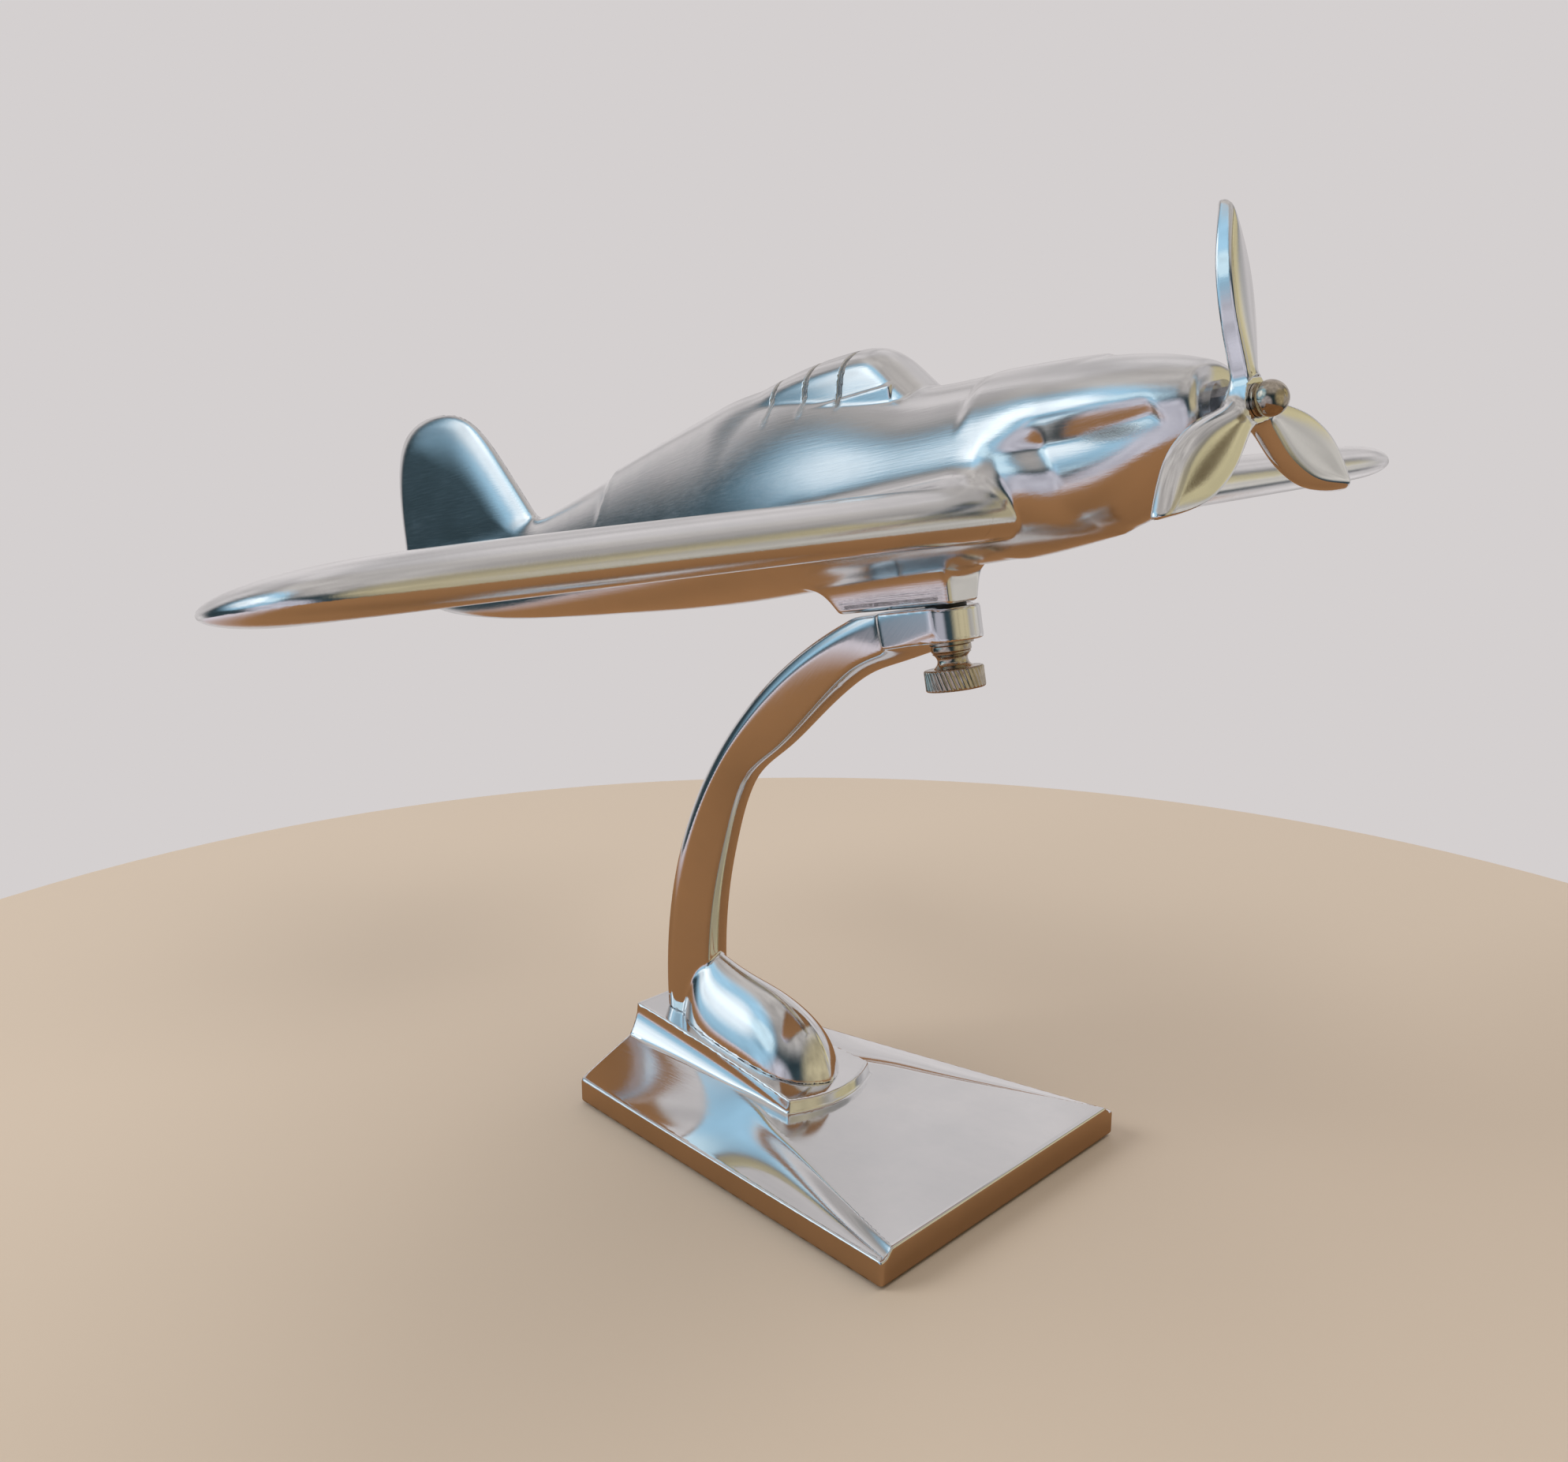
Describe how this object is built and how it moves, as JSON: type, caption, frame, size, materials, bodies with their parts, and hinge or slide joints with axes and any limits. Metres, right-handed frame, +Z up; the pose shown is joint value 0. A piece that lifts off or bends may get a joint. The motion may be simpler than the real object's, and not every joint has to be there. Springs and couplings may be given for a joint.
{
  "type": "propeller plane model",
  "caption": "Polished cast-aluminium desk model of a low-wing propeller plane, held nose-up by a knurled thumb nut on a curved arm over a wedge base.",
  "frame": {"origin": "centre of the felt's underside, on the surface that the base stands on", "axes": "+Z up, +X to the wide front end of the base, +Y to the plane's port side"},
  "size_m": [0.2913, 0.2979, 0.1991],
  "materials": {
    "polished_airframe": "mirror-polished cast aluminium with fine hand-polishing marks, duller in the corners",
    "polished_base": "mirror-polished cast aluminium, sanded bottom rim",
    "polished_arm": "mirror-polished cast aluminium",
    "polished_propeller": "polished cast aluminium with small casting pits",
    "nickel_hardware": "nickel-plated turned hardware, warm grey",
    "steel_hardware": "plain zinc-plated steel",
    "black_fibre": "black fibre washer",
    "felt": "black felt"
  },
  "bodies": {
    "stand": {"base_plate": "polished_base", "base_felt": "felt", "stand_arm": "polished_arm", "arm_screw_1": "steel_hardware", "arm_screw_2": "steel_hardware", "arm_screw_washer_1": "steel_hardware", "arm_screw_washer_2": "steel_hardware"},
    "plane": {"airframe": "polished_airframe", "clamp_stud": "steel_hardware", "swivel_washer": "black_fibre", "propeller_axle": "steel_hardware", "nose_washer": "nickel_hardware", "axle_lock_nut": "nickel_hardware", "propeller_washer": "nickel_hardware", "ball_nut": "nickel_hardware"},
    "propeller": {"propeller": "polished_propeller"},
    "clamp_washer": {"clamp_washer": "nickel_hardware"},
    "thumb_nut": {"thumb_nut": "nickel_hardware"}
  },
  "joints": [
    {"name": "plane_swivel", "type": "hinge", "parent": "stand", "child": "plane", "pos_m": [0.0316, 0, 0.1254], "axis": [-0.184, 0, 0.9829], "continuous": true},
    {"name": "propeller_spin", "type": "hinge", "parent": "plane", "child": "propeller", "pos_m": [0.0972, -0.00758, 0.16708], "axis": [0.9776, -0.1045, 0.1829], "continuous": true},
    {"name": "clamp_travel", "type": "slide", "parent": "plane", "child": "clamp_washer", "axis": [0.184, 0, -0.9829], "range_m": [0, 0.003]},
    {"name": "nut_turn", "type": "hinge", "parent": "clamp_washer", "child": "thumb_nut", "pos_m": [0.0316, 0, 0.1254], "axis": [0.184, 0, -0.9829], "range_deg": [0, 1542.86]}
  ],
  "couplings": [
    {"joint": "clamp_travel", "follows": "nut_turn", "m_per_rad": 0.00011141}
  ]
}
